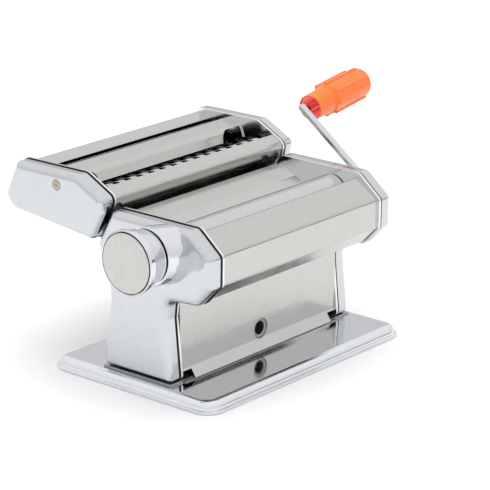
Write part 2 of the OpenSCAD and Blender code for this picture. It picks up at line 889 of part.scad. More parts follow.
module fine_front_roller() {
  color("#b9babd") cutter_driver(fine_front, fine_r, fine_depth, fine_count);
}

module fine_rear_roller() {
  color("#b9babd") cutter_follower(fine_rear, fine_r, fine_depth, fine_count);
}

module cutter_gear(at, mate, offset) {
  color("#8f8468") gear(norm(at - mate), cut_gear_x, cut_gear_w, at,
    angle_to(at, mate) + offset, cut_journal_r);
}

module wide_front_gear() {
  cutter_gear(wide_front, wide_rear, 0);
}

module wide_rear_gear() {
  cutter_gear(wide_rear, wide_front, half_pitch);
}

module fine_front_gear() {
  cutter_gear(fine_front, fine_rear, 0);
}

module fine_rear_gear() {
  cutter_gear(fine_rear, fine_front, half_pitch);
}

base_plate();
rubber_feet();
foot_strips();
frame_bolts();
left_side_frame();
right_side_frame();
left_frame_gasket();
right_frame_gasket();
left_side_cover();
right_side_cover();
cover_screws();
tie_rods();
tie_rod_screws();
front_roller_cover();
hopper_rear_plate();
front_lower_wall();
rear_lower_wall();
clamp_socket();
roller_scrapers();
front_roller_bushes();
carriage_guides();
index_ring();
head_rails();
front_roller();
front_roller_gear();
crank_shaft();
crank_arm();
grip_pin();
grip_retainer();
handle_grip();
left_bearing_block();
right_bearing_block();
rear_roller();
rear_roller_gear();
dial_shaft();
knob_body();
knob_cap();
index_pin();
knob_spring();
cutter_left_frame();
cutter_right_frame();
cutter_left_gasket();
cutter_right_gasket();
cutter_left_cover();
cutter_right_cover();
cutter_rear_plate();
cutter_middle_plate();
cutter_front_plate();
cutter_tongues();
cutter_combs();
cutter_cover_screws();
wide_front_roller();
wide_rear_roller();
fine_front_roller();
fine_rear_roller();
wide_front_gear();
wide_rear_gear();
fine_front_gear();
fine_rear_gear();
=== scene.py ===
"""Looks of the pasta roller machine: meshes, materials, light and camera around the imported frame.

Shapes are worked out in millimetres and become metres when a mesh is made. X runs along the rollers,
from the knob side to the crank side, Y from the front to the cutter head, Z up. Outlines are corners
(y, z, radius), anticlockwise.
"""
import json
from math import asin, atan2, cos, pi, radians, sin, tan

import bmesh
import bpy
from mathutils import Matrix, Vector

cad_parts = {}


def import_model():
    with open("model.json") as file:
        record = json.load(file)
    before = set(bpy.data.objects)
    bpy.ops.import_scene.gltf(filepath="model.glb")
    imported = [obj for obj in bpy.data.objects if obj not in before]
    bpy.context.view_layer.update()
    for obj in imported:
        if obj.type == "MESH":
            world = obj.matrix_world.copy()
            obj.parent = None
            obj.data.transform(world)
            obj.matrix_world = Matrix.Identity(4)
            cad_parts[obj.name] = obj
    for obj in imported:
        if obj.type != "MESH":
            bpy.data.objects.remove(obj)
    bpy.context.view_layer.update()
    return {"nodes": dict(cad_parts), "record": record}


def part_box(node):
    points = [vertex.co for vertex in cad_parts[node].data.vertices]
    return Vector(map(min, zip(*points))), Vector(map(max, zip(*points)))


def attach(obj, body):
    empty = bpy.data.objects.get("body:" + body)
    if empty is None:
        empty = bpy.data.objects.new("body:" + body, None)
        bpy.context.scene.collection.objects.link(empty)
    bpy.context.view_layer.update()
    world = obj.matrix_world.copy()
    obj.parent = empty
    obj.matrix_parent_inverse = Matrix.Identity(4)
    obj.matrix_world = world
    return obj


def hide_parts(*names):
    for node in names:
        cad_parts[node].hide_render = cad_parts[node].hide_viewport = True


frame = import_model()

MM = 0.001
RECORD = frame["record"]
BODY = {node: body for body, nodes in RECORD["behaviour"]["bodies"].items() for node in nodes}
SLOT = {part["node"]: part["material_slot"] for part in RECORD["subparts"]}


# ---- Places, from the frame ----
def span(node):
    """Lowest and highest corner of a CAD node at rest, in millimetres."""
    low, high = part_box(node)
    return low / MM, high / MM


def axis_of(node):
    """(y, z) of the middle of a CAD node, which is its axis if it is round about X."""
    low, high = span(node)
    return Vector(((low.y + high.y) / 2, (low.z + high.z) / 2))


FRAME_IN = span("front_roller_cover")[1].x
FRAME_OUT = span("right_frame_gasket")[0].x
COVER_IN = span("right_side_cover")[0].x
COVER_OUT = span("right_side_cover")[1].x
CUT_IN = span("cutter_rear_plate")[1].x
CUT_OUT = span("cutter_right_gasket")[0].x
CUT_COVER_IN = span("cutter_right_cover")[0].x
CUT_COVER_OUT = span("cutter_right_cover")[1].x
BASE_HIGH = span("base_plate")[1]
BASE_TOP = BASE_HIGH.z
FOOT_TOP = span("foot_strips")[1].z
FRONT_AXIS = axis_of("front_roller")
REAR_AXIS = axis_of("rear_roller")
ROLLER_R = span("rear_roller")[1].z - REAR_AXIS.y
KNOB_AXIS = axis_of("knob_cap")
KNOB_FACE = -span("knob_cap")[0].x
KNOB_R = span("knob_body")[1].z - KNOB_AXIS.y
JOINTS = {joint["name"]: joint for joint in RECORD["behaviour"]["joints"]}
PIN_PLACE = Vector(JOINTS["grip_spin"]["pos_m"]) / MM
PIN_DIRECTION = Vector(JOINTS["grip_spin"]["axis"])
SHEET = 1.2


# ---- Outlines ----
def left_of(v):
    return Vector((-v.y, v.x))


def beside(a, b, c, t):
    """The point t to the left of b, on the line a, b, c."""
    n0, n1 = left_of((b - a).normalized()), left_of((c - b).normalized())
    m = (n0 + n1).normalized()
    return b + m * t / m.dot(n0)


def turns_left(a, b, c):
    u, v = b - a, c - b
    return u.x * v.y - u.y * v.x > 0


def fillet(a, p, b, r, n):
    """Points of the round corner at p between its neighbours a and b."""
    if r <= 0:
        return [p]
    u, v = (a - p).normalized(), (b - p).normalized()
    half = u.angle(v) / 2
    c = p + (u + v).normalized() * r / sin(half)
    s, e = p + u * r / tan(half) - c, p + v * r / tan(half) - c
    a0 = atan2(s.y, s.x)
    turn = (atan2(e.y, e.x) - a0 + 3 * pi) % (2 * pi) - pi
    return [c + r * Vector((cos(a0 + turn * i / n), sin(a0 + turn * i / n))) for i in range(n + 1)]


def outline(corners, margin=0.0, n=8):
    """Points of a closed outline, moved in by margin. There are as many at any margin."""
    p = [Vector(c[:2]) for c in corners]
    count = len(p)
    moved, radii = [], []
    for i, corner in enumerate(corners):
        a, b, c = p[i - 1], p[i], p[(i + 1) % count]
        moved.append(beside(a, b, c, margin))
        radius = corner[2] - margin if turns_left(a, b, c) else corner[2] + margin
        radii.append(max(radius, 0.12) if corner[2] else 0)
    points = []
    for i in range(count):
        points += fillet(moved[i - 1], moved[i], moved[(i + 1) % count], radii[i], n)
    return points


def bent_line(corners, n=6):
    """Points of an open line of corners; its two ends stay as they are."""
    p = [Vector(c[:2]) for c in corners]
    points = [p[0]]
    for i in range(1, len(p) - 1):
        points += fillet(p[i - 1], p[i], p[i + 1], corners[i][2], n)
    return points + [p[-1]]


def sheet(corners, thick=SHEET):
    """Closed corners of a sheet, to the left of an open line of corners."""
    p = [Vector(c[:2]) for c in corners]
    lip = 0.3 * thick
    far = []
    for i in range(1, len(p) - 1):
        radius = corners[i][2] + (-thick if turns_left(p[i - 1], p[i], p[i + 1]) else thick)
        far.append((*beside(p[i - 1], p[i], p[i + 1], thick), max(radius, 0.2)))
    first = p[0] + left_of((p[1] - p[0]).normalized()) * thick
    last = p[-1] + left_of((p[-1] - p[-2]).normalized()) * thick
    middle = [tuple(c) for c in corners[1:-1]]
    return [(*p[0], lip), *middle, (*p[-1], lip), (*last, lip), *reversed(far), (*first, lip)]


def circle(centre, r, n=48):
    return [Vector((centre[0] + r * cos(2 * pi * i / n), centre[1] + r * sin(2 * pi * i / n)))
            for i in range(n)]


# ---- Solids ----
class Shape:
    """Vertices, in millimetres, and faces, gathered part by part."""

    def __init__(self):
        self.verts, self.faces = [], []

    def loft(self, rings, caps=True, around=False):
        """Joins closed rings of equally many points. around joins the last ring to the first."""
        start, n, count = len(self.verts), len(rings[0]), len(rings)
        self.verts += [Vector(p) for ring in rings for p in ring]
        for i in range(count if around else count - 1):
            a, b = start + i * n, start + (i + 1) % count * n
            self.faces += [(a + k, a + (k + 1) % n, b + (k + 1) % n, b + k) for k in range(n)]
        if caps and not around:
            self.faces.append(tuple(range(start, start + n)))
            self.faces.append(tuple(range(start + (count - 1) * n, start + count * n)))
        return self

    def prism(self, points_at, x0, x1, edge=0.3, steps=3):
        """A solid along X. points_at(margin) is its outline moved in, and edge its edges' radius."""
        angles = [pi / 2 * i / steps for i in range(steps + 1)]
        near = [(x0 + edge * (1 - cos(a)), edge * (1 - sin(a))) for a in angles]
        far = [(x1 - edge * (1 - cos(a)), edge * (1 - sin(a))) for a in reversed(angles)]
        return self.loft([[(x, *p) for p in points_at(margin)] for x, margin in near + far])

    def lathe(self, profile, centre, n=96, around=False):
        """(x, radius) points turned about the axis along X through centre."""
        return self.loft([[(x, *p) for p in circle(centre, r, n)] for x, r in profile], around=around)

    def box(self, low, high, edge=0.3):
        """A block with rounded edges."""
        corners = [(low[1], low[2], edge), (high[1], low[2], edge), (high[1], high[2], edge),
                   (low[1], high[2], edge)]
        return self.prism(lambda margin: outline(corners, margin, 3), low[0], high[0], edge)

    def moved(self, matrix):
        """The same shape after a matrix."""
        other = Shape()
        other.verts, other.faces = [matrix @ v for v in self.verts], list(self.faces)
        return other

    def add(self, other):
        start = len(self.verts)
        self.verts += other.verts
        self.faces += [tuple(start + k for k in face) for face in other.faces]
        return self


MIRROR = Matrix.Diagonal((-1, 1, 1, 1))


def object_of(name, shape):
    """A mesh object of a shape, with its faces turned outwards."""
    mesh = bpy.data.meshes.new(name)
    mesh.from_pydata([v * MM for v in shape.verts], [], shape.faces)
    bm = bmesh.new()
    bm.from_mesh(mesh)
    bmesh.ops.remove_doubles(bm, verts=bm.verts, dist=1e-7)
    bmesh.ops.recalc_face_normals(bm, faces=bm.faces)
    bm.to_mesh(mesh)
    bm.free()
    obj = bpy.data.objects.new(name, mesh)
    bpy.context.scene.collection.objects.link(obj)
    return obj


def subtract(obj, tool_shape):
    """Cuts a shape out of an object's mesh."""
    tool = object_of("tool", tool_shape)
    cut = obj.modifiers.new("cut", "BOOLEAN")
    cut.operation, cut.solver, cut.object = "DIFFERENCE", "EXACT", tool
    solid = obj.evaluated_get(bpy.context.evaluated_depsgraph_get())
    obj.data = bpy.data.meshes.new_from_object(solid)
    obj.modifiers.clear()
    bpy.data.objects.remove(tool)


def make(name, node, shape, cuts=(), crease=38, finish=None):
    """The piece that stands for a CAD node: it rides on the node's body and has its slot.

    crease is the angle from which an edge stays sharp. finish is a material, and the slot's if None.
    """
    obj = object_of(name, shape)
    for tool_shape in cuts:
        subtract(obj, tool_shape)
    for polygon in obj.data.polygons:
        polygon.use_smooth = True
    obj.data.set_sharp_from_angle(angle=radians(crease))
    weighted = obj.modifiers.new("flat faces stay flat", "WEIGHTED_NORMAL")
    weighted.keep_sharp = True
    obj.data.materials.append(finish or MATERIALS[SLOT[node]])
    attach(obj, BODY[node])
    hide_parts(node)
    return obj


def make_pair(name, node, shape, cuts=()):
    """The same piece on both sides: a right one, and its mirror image on the left."""
    make("right_" + name, node.format("right"), shape, cuts)
    make("left_" + name, node.format("left"), shape.moved(MIRROR), [c.moved(MIRROR) for c in cuts])


# ---- Materials ----
class Nodes:
    """A material and short ways to add its nodes."""

    def __init__(self, name):
        self.material = bpy.data.materials.new(name)
        self.material.use_nodes = True
        self.tree = self.material.node_tree
        self.shader = self.tree.nodes["Principled BSDF"]
        self.place = self.add("TexCoord").outputs["Object"]

    def add(self, kind, settings=(), **inputs):
        """A node of that kind. Inputs are values, or outputs to link."""
        node = self.tree.nodes.new("ShaderNode" + kind)
        for key, value in dict(settings).items():
            setattr(node, key, value)
        for key, value in inputs.items():
            self.set(node.inputs[key.replace("_", " ")], value)
        return node

    def set(self, socket, value):
        if isinstance(value, bpy.types.NodeSocket):
            self.tree.links.new(value, socket)
        else:
            socket.default_value = value

    def noise(self, scale, detail=2.0, rough=0.5, stretch=(1, 1, 1)):
        """Noise over the object, in features of 1 / scale metres."""
        place = self.add("Mapping", Vector=self.place, Scale=stretch).outputs["Vector"]
        return self.add("TexNoise", Vector=place, Scale=scale, Detail=detail,
                        Roughness=rough).outputs["Fac"]

    def ramp(self, value, low, high, at=(0.35, 0.65)):
        """Value, stretched from the range at to the range low to high."""
        return self.add("MapRange", Value=value, From_Min=at[0], From_Max=at[1], To_Min=low,
                        To_Max=high).outputs["Result"]

    def blend(self, value, low, high, at=(0.35, 0.65)):
        """A colour between low and high."""
        mix = self.tree.nodes.new("ShaderNodeMix")
        mix.data_type = "RGBA"
        self.set(mix.inputs["Factor"], self.ramp(value, 0, 1, at))
        self.set(mix.inputs[6], low)
        self.set(mix.inputs[7], high)
        return mix.outputs[2]

    def bump(self, height, depth, below=None):
        """A bump of that depth in millimetres."""
        node = self.add("Bump", Height=height, Distance=depth * MM)
        if below:
            self.set(node.inputs["Normal"], below)
        return node.outputs["Normal"]


def rgb(r, g, b):
    return (r, g, b, 1.0)


def shade(colour, factor):
    return rgb(*(c * factor for c in colour[:3]))


def axis_distance(m, place, direction):
    """How far a point is from the axis through place, in metres."""
    offset = m.add("VectorMath", {"operation": "SUBTRACT"})
    m.set(offset.inputs[0], m.place)
    m.set(offset.inputs[1], place * MM)
    across = m.add("VectorMath", {"operation": "CROSS_PRODUCT"})
    m.set(across.inputs[0], offset.outputs[0])
    m.set(across.inputs[1], direction)
    radius = m.add("VectorMath", {"operation": "LENGTH"})
    m.set(radius.inputs[0], across.outputs[0])
    return radius.outputs["Value"]


def metal(name, colour, rough, grain=(1, 1, 1), grain_depth=0.0006, wave_depth=0.012, smudge=0.35,
          tint=None):
    """Polished or brushed metal: smudges in its gloss, fine grain, and the slight waves of sheet.

    tint(m, surface) may return another colour for parts of the surface.
    """
    m = Nodes(name)
    m.shader.inputs["Metallic"].default_value = 1.0
    smudges = m.noise(38, 4, 0.6)
    grains = m.noise(900, 3, 0.6, grain)
    specks = m.noise(260, 5, 0.7)
    waves = m.noise(14, 1, 0.4)
    surface = m.blend(specks, colour, shade(colour, 0.93), (0.5, 0.75))
    m.set(m.shader.inputs["Base Color"], tint(m, surface) if tint else surface)
    gloss = m.add("Math", {"operation": "ADD"})
    m.set(gloss.inputs[0], m.ramp(smudges, rough * (1 - smudge), rough * (1 + smudge)))
    m.set(gloss.inputs[1], m.ramp(grains, 0, 0.3 * rough, (0.45, 0.75)))
    m.set(m.shader.inputs["Roughness"], gloss.outputs[0])
    relief = m.bump(waves, wave_depth)
    m.set(m.shader.inputs["Normal"], m.bump(grains, grain_depth, relief))
    return m.material


def plastic(name, colour, rough, grain_depth=0.01, cloud=0.85, tint=None):
    """Moulded plastic or rubber: a fine matt grain, and clouds of a slightly darker shade.

    tint(m, surface) may return another colour for parts of the surface.
    """
    m = Nodes(name)
    grains = m.noise(1500, 2, 0.5)
    clouds = m.noise(45, 3, 0.55)
    surface = m.blend(clouds, colour, shade(colour, cloud))
    m.set(m.shader.inputs["Base Color"], tint(m, surface) if tint else surface)
    m.set(m.shader.inputs["Roughness"], m.ramp(clouds, rough * 0.85, rough * 1.2))
    m.set(m.shader.inputs["Normal"], m.bump(grains, grain_depth))
    return m.material


def red_hollow_painted_glow(m, surface):
    """The grip's plastic is red in its hollow, with a painted glow there: near the leaning axis, and near
    the arm.
    """
    red, painted_glow, strength = rgb(0.55, 0.012, 0.003), rgb(0.9, 0.015, 0.002), 0.4
    hollow_r, hollow_end = 0.009, 0.0264
    painted_glow_fade, red_fade = (0, 0.0004), (0, 0.0008)
    past_wall = m.add("Math", {"operation": "SUBTRACT"})
    m.set(past_wall.inputs[0], axis_distance(m, PIN_PLACE, PIN_DIRECTION))
    m.set(past_wall.inputs[1], hollow_r)
    offset = m.add("VectorMath", {"operation": "SUBTRACT"})
    m.set(offset.inputs[0], m.place)
    m.set(offset.inputs[1], PIN_PLACE * MM)
    along = m.add("VectorMath", {"operation": "DOT_PRODUCT"})
    m.set(along.inputs[0], offset.outputs[0])
    m.set(along.inputs[1], PIN_DIRECTION)
    past_end = m.add("Math", {"operation": "SUBTRACT"})
    m.set(past_end.inputs[0], along.outputs["Value"])
    m.set(past_end.inputs[1], hollow_end)
    outside = m.add("Math", {"operation": "MAXIMUM"})
    m.set(outside.inputs[0], past_wall.outputs[0])
    m.set(outside.inputs[1], past_end.outputs[0])
    # Painted glow: the hollow gives off red light, though the plastic is no lamp.
    m.set(m.shader.inputs["Emission Color"], painted_glow)
    m.set(m.shader.inputs["Emission Strength"], m.ramp(outside.outputs[0], strength, 0, painted_glow_fade))
    return m.blend(outside.outputs[0], red, surface, red_fade)


def grip_plastic():
    material = plastic("grip_plastic", rgb(0.94, 0.185, 0.018), 0.32, 0.006, 0.93, red_hollow_painted_glow)
    shader = material.node_tree.nodes["Principled BSDF"]
    shader.inputs["Subsurface Weight"].default_value = 0.25
    shader.inputs["Subsurface Radius"].default_value = (1.0, 0.3, 0.1)
    shader.inputs["Subsurface Scale"].default_value = 0.003
    return material


def from_line(m, y, z):
    """How far a point is from the line along X through y and z, in metres."""
    return axis_distance(m, Vector((0, y, z)), Vector((1, 0, 0)))


# Near-black colour for painted shade in deep grooves and slots.
PAINTED_SHADE = rgb(0.012, 0.012, 0.012)


def grooved_steel(cutter, groove_r, land):
    """Cutting rollers: ground lands, and grooves darkened with painted shade."""
    fade = 0.6

    def groove_painted_shade(m, surface):
        # Painted shade: the grooves are coloured dark by their radius from the axis.
        reach = (groove_r * MM, (groove_r + fade) * MM)
        return m.blend(from_line(m, *CUT_AXES[cutter]), PAINTED_SHADE, surface, reach)

    return metal(cutter + "_steel", land, 0.25, wave_depth=0.002, tint=groove_painted_shade)


def lip_painted_shade(m, surface):
    """The rear plate's lip, bent down into the slot, gets painted shade."""
    lip_y, lip_z = 106, 142.4
    reach = (0.0019, 0.0022)
    return m.blend(from_line(m, lip_y, lip_z), PAINTED_SHADE, surface, reach)


def cap_edge_painted_shade(m, surface):
    """The knob's cap: its rounded edge is painted dark, a painted shade line between the cap and the rim.
    """
    painted_dark = rgb(0.06, 0.06, 0.06)
    edge_r = (KNOB_R - 2.2) * MM
    return m.blend(from_line(m, *KNOB_AXIS), surface, painted_dark, (edge_r, edge_r + 0.0003))


def screw_dip_painted_shade(m, surface):
    """The cutter's covers are painted darker around their screw: painted shade that stands in for a dip
    in the sheet.
    """
    painted_dark = rgb(0.25, 0.25, 0.26)
    reach = (0.0039, 0.0045)
    return m.blend(from_line(m, *CUTTER_SCREW), painted_dark, surface, reach)


CHROME = rgb(0.60, 0.615, 0.63)
STEEL = rgb(0.555, 0.55, 0.53)
ALONG_X = (0.04, 1, 1)

MATERIALS = {
    "base_steel": metal("base_steel", rgb(0.74, 0.755, 0.78), 0.1, wave_depth=0.02),
    "foot_rubber": plastic("foot_rubber", rgb(0.02, 0.02, 0.021), 0.75),
    "foot_strip": metal("foot_strip", rgb(0.42, 0.43, 0.45), 0.3),
    "bolt_steel": metal("bolt_steel", rgb(0.5, 0.5, 0.51), 0.28),
    "frame_steel": metal("frame_steel", rgb(0.80, 0.81, 0.82), 0.14),
    "gasket_black": plastic("gasket_black", rgb(0.006, 0.006, 0.007), 0.85),
    "cover_chrome": metal("cover_chrome", CHROME, 0.09, wave_depth=0.03),
    "screw_zinc": metal("screw_zinc", rgb(0.5, 0.44, 0.3), 0.25),
    "plate_steel": metal("plate_steel", STEEL, 0.15, grain=ALONG_X, wave_depth=0.02),
    "socket_steel": metal("socket_steel", rgb(0.35, 0.35, 0.36), 0.35),
    "scraper_plastic": plastic("scraper_plastic", rgb(0.75, 0.75, 0.72), 0.45),
    "bush_brass": metal("bush_brass", rgb(0.6, 0.42, 0.17), 0.4),
    "knob_chrome": metal("knob_chrome", rgb(0.72, 0.735, 0.76), 0.06, wave_depth=0.004),
    # Its tint paints a dark shade line round the cap's edge.
    "knob_satin": metal("knob_satin", rgb(0.56, 0.555, 0.535), 0.3, wave_depth=0.006, tint=cap_edge_painted_shade),
    "rail_black": plastic("rail_black", rgb(0.014, 0.014, 0.016), 0.4),
    "roller_steel": metal("roller_steel", rgb(0.6, 0.6, 0.6), 0.16, wave_depth=0.002),
    "gear_steel": metal("gear_steel", rgb(0.4, 0.33, 0.22), 0.4),
    "crank_steel": metal("crank_steel", rgb(0.66, 0.67, 0.69), 0.22, wave_depth=0.006),
    "grip_plastic": grip_plastic(),
    "spring_steel": metal("spring_steel", rgb(0.3, 0.3, 0.31), 0.3),
}


# ---- Base ----
BASE_R = 14


def base_ring(margin, z):
    x, y, r = BASE_HIGH.x - margin, BASE_HIGH.y - margin, max(BASE_R - margin, 1)
    corners = [(x, y, r), (-x, y, r), (-x, -y, r), (x, -y, r)]
    return [(*p, z) for p in outline(corners, 0, 12)]


def base_plate():
    """A stamped sheet: a flange with a groove above it, a round shoulder and a flat top.

    outside and inside are (margin, z) on its upper and lower face.
    """
    outside = [(0.5, 0), (0.1, 0.25), (0, 0.6), (0, 1.6), (0.2, 2.0), (0.7, 2.25), (1.5, 2.35),
               (1.75, 2.6), (1.8, 3.2), (2.0, 4.4), (2.5, 5.7), (3.3, 6.9), (4.5, 8.0), (6.0, 8.7),
               (7.4, 8.96), (8.2, BASE_TOP)]
    inside = [(9.0, BASE_TOP - SHEET), (7.0, 7.5), (5.4, 6.9), (4.3, 5.8), (3.5, 4.4), (3.1, 3.0),
              (3.0, 1.0), (3.0, 0)]
    shape = Shape().loft([base_ring(m, z) for m, z in inside + outside])
    make("base_shell", "base_plate", shape, crease=50)


def rubber_feet():
    shape = Shape()
    under, r = BASE_TOP - SHEET, 8
    profile = [(2.6, 2.9), (0.5, 3.0), (0, 3.5), (0, r - 1.6), (0.5, r - 0.5), (1.4, r), (under, r)]
    stand = Matrix.Rotation(-pi / 2, 4, "Y")
    inset = 18
    for sx in (-1, 1):
        for sy in (-1, 1):
            at = Vector((sx * (BASE_HIGH.x - inset), sy * (BASE_HIGH.y - inset), 0))
            foot = Shape().lathe(profile, (0, 0), 48)
            shape.add(foot.moved(Matrix.Translation(at) @ stand))
    make("feet", "rubber_feet", shape)


FOOT_HALF = 33


def foot_strips():
    """The strips under the side frames and covers, ribbed along their outer edge."""
    low, high = FRAME_IN - 11, COVER_OUT - 1
    strip = Shape().box((low, -FOOT_HALF, BASE_TOP), (high, FOOT_HALF, FOOT_TOP), 0.3)
    ribs = 33
    for i in range(ribs):
        y = -FOOT_HALF + (i + 0.5) * 2 * FOOT_HALF / ribs
        strip.box((high - 1, y - 0.5, BASE_TOP + 0.2), (high + 0.5, y + 0.5, FOOT_TOP - 0.15), 0.2)
    shape = Shape().add(strip).add(strip.moved(MIRROR))
    make("strips_under_legs", "foot_strips", shape)


BOLT_X = FRAME_IN - 5
BOLT_Y = 18


def hexagon(r, z):
    return [(r * cos(i * pi / 3), r * sin(i * pi / 3), z) for i in range(6)]


def frame_bolts():
    """Hexagon nuts with washers on top, threads above them and round heads below the base."""
    top = FOOT_TOP + 2.2
    under = BASE_TOP - SHEET
    bolt = Shape()
    bolt.loft([hexagon(4.0, top + 0.4), hexagon(4.35, top + 0.7), hexagon(4.35, top + 2.6),
               hexagon(4.0, top + 3)])
    turned = [(top, 2.6), (top, 4.9), (top + 0.4, 4.9), (top + 0.5, 2.4), (top + 4.2, 2.4),
              (top + 4.6, 2.0)]
    head = [(under - 3.2, 3.4), (under - 2.6, 4.3), (under, 4.5)]
    stand = Matrix.Rotation(-pi / 2, 4, "Y")
    bolt.add(Shape().lathe(turned, (0, 0), 32).moved(stand))
    bolt.add(Shape().lathe(head, (0, 0), 32).moved(stand))
    shape = Shape()
    for sx in (-1, 1):
        for sy in (-1, 1):
            shape.add(bolt.moved(Matrix.Translation((sx * BOLT_X, sy * BOLT_Y, 0))))
    make("bolts", "frame_bolts", shape)


# ---- Side frames, gaskets and covers ----
MAIN = [(24, 131, 4), (-51.5, 131, 7), (-72.3, 113.5, 5), (-72, 91, 5), (-57.4, 75, 6), (-30, 73, 7),
        (-28.5, 58, 6), (-33, FOOT_TOP, 3.4), (33.3, FOOT_TOP, 3.4), (33.5, 31.7, 12), (27, 63, 14),
        (28, 73, 14), (38.9, 103.8, 5), (36.9, 108, 5)]
CUTTER = [(116.5, 152.8, 6), (52.8, 153.3, 9), (25.6, 139, 6), (28.5, 127, 8), (39.5, 105.5, 5),
          (121.5, 114, 9), (129.2, 124.5, 7)]
JOURNAL_R = 6
GAP_TRAVEL = 1.9
CLOSE = (FRONT_AXIS - REAR_AXIS).normalized()


def rod(x0, x1, r, centre, n=48):
    """A plain rod, as a tool to cut a hole with."""
    return Shape().lathe([(x0, r), (x1, r)], centre, n)


FRAME_EDGE = 0.4


def frame_outline(corners):
    """A frame plate's outline at a margin, a little within the gasket and the cover beside it."""
    within = 0.1
    return lambda margin: outline(corners, margin + within)


def side_frames():
    shape = Shape().prism(frame_outline(MAIN), FRAME_IN, FRAME_OUT, FRAME_EDGE)
    slot_r = JOURNAL_R + 1
    along = [REAR_AXIS + CLOSE * GAP_TRAVEL, REAR_AXIS]
    angle = atan2(CLOSE.y, CLOSE.x)
    rim = []
    for end, centre in enumerate(along):
        for i in range(13):
            a = angle - pi / 2 + end * pi + pi * i / 12
            rim.append(centre + slot_r * Vector((cos(a), sin(a))))
    slot = Shape().prism(lambda m: rim, FRAME_IN - 1, FRAME_OUT + 1, 0, 1)
    bush_hole = rod(FRAME_IN - 1, FRAME_OUT + 1, JOURNAL_R + 2.5, FRONT_AXIS)
    make_pair("frame_plate", "{}_side_frame", shape, [slot, bush_hole])


def gasket(corners, x0, x1, width, sunk=0.0):
    """A flat ring of that width with soft outer edges, sunk below the outline by sunk."""
    soft = 0.12
    section = [(x0, sunk + soft), (x0 + soft, sunk), (x1 - soft, sunk), (x1, sunk + soft), (x1, width),
               (x0, width)]
    return Shape().loft([[(x, *p) for p in outline(corners, m)] for x, m in section], around=True)


def gaskets(name, node, *shape):
    """Both rings of a pair: the right one is pressed in a little deeper than the left one."""
    right_sunk = 0.9
    make("right_" + name, node.format("right"), gasket(*shape, sunk=right_sunk))
    make("left_" + name, node.format("left"), gasket(*shape).moved(MIRROR))


def pan(corners, x0, x1, edge, gap=0.45):
    """A pressed cover, open towards the frame: a thin wall, a round edge and a slightly crowned face.

    edge is the round edge's radius, and gap how far the wall is within the outline.
    """
    steps, crown = 8, 0.25
    rises, rise_w = 4, 1.6
    angles = [pi / 2 * i / steps for i in range(steps + 1)]
    outer = [(x1 - crown - edge + edge * sin(a), gap + edge * (1 - cos(a))) for a in angles]
    small = edge - SHEET
    inner = [(x1 - crown - edge + small * sin(a), gap + SHEET + small * (1 - cos(a))) for a in angles]
    lip = [(x0 + 0.3, gap + SHEET), (x0, gap + SHEET - 0.4), (x0, gap + 0.6), (x0 + 0.2, gap + 0.2),
           (x0 + 0.6, gap)]
    section = list(reversed(inner)) + lip + outer
    last = outer[-1]
    section += [(last[0] + crown * (1 - (1 - i / rises) ** 2), last[1] + i * rise_w)
                for i in range(1, rises + 1)]
    return Shape().loft([[(x, *p) for p in outline(corners, m)] for x, m in section])


SCREWS = [(16, 122), (-22, 20), (22, 20)]
SCREW_R = 3.4
RIGHT_GAP = 0.1


def side_covers():
    """The right cover has a hole for the crank, and the left one for the knob's shaft."""
    place = (MAIN, COVER_IN, COVER_OUT, 5.5)
    crank_hole = rod(COVER_IN, COVER_OUT + 1, 7.5, FRONT_AXIS)
    make("right_cover", "right_side_cover", pan(*place, gap=RIGHT_GAP), [crank_hole])
    knob_hole = rod(-COVER_OUT - 1, -COVER_IN, 11, KNOB_AXIS)
    make("left_cover", "left_side_cover", pan(*place).moved(MIRROR), [knob_hole])


def cross_screw(x, centre, r):
    """A countersunk screw head, its face towards +X, and the two arms of its cross recess."""
    profile = [(x - 1.5, r - 1.2), (x - 0.5, r), (x - 0.15, r), (x, r - 0.35), (x + 0.08, r * 0.5),
               (x + 0.1, 0.3)]
    head = Shape().lathe(profile, centre, 48)
    arm, half = 0.66 * r, 0.19 * r
    signs = ((-1, -1), (1, -1), (1, 1), (-1, 1))
    tip, depth = 0.35, 1.1
    arms = []
    for u, v in ((arm, half), (half, arm)):
        low = [(x - depth, centre[0] + a * u * tip, centre[1] + b * v * tip) for a, b in signs]
        high = [(x + 1, centre[0] + a * u, centre[1] + b * v) for a, b in signs]
        arms.append(Shape().loft([low, high]))
    return head, arms


def screws(name, node, x, places, r, both=False):
    """Cross-head screws. The two arms of the crosses are cut one after the other."""
    heads, tools = Shape(), [Shape(), Shape()]
    for centre in places:
        head, arms = cross_screw(x, centre, r)
        heads.add(head)
        for tool, arm in zip(tools, arms):
            tool.add(arm)
    if both:
        heads.add(heads.moved(MIRROR))
        for tool in tools:
            tool.add(tool.moved(MIRROR))
    make(name, node, heads, tools)


def cover_parts():
    side_frames()
    gaskets("gasket_ring", "{}_frame_gasket", MAIN, FRAME_OUT, COVER_IN, 3)
    side_covers()
    screws("right_cover_screws", "cover_screws", COVER_OUT + 0.1, SCREWS, SCREW_R)


# ---- Plates between the side frames ----
FRONT_COVER = [(-48.2, 121.5, 0), (-48.8, 126.4, 1.6), (-51.6, 127, 2.5), (-69.9, 113.3, 5),
               (-70.2, 90.6, 5), (-57, 76.4, 2), (-55.2, 79, 0)]
HOPPER = [(24.6, 121.8, 0), (23.8, 126.6, 2), (0, 121.6, 20), (-9.5, 117.6, 6), (-11.4, 113.6, 0)]
FRONT_WALL = [(-34.4, BASE_TOP, 0), (-29, 17, 1.6), (-29, 72, 3), (-31.6, 93, 0)]
REAR_WALL = [(32, FOOT_TOP, 0), (32, 31.7, 12), (25.6, 62, 14), (26.6, 73, 14), (36.4, 101.6, 0)]
RAIL_X = 84
CLAMP_Z = 25
SOCKET_TUBE_R = 8


def plate(name, node, corners, half, cuts=(), finish=None):
    """A bent sheet from -half to half along X."""
    closed = sheet(corners)
    shape = Shape().prism(lambda m: outline(closed, m, 6), -half, half, 0.25)
    make(name, node, shape, cuts, finish=finish)


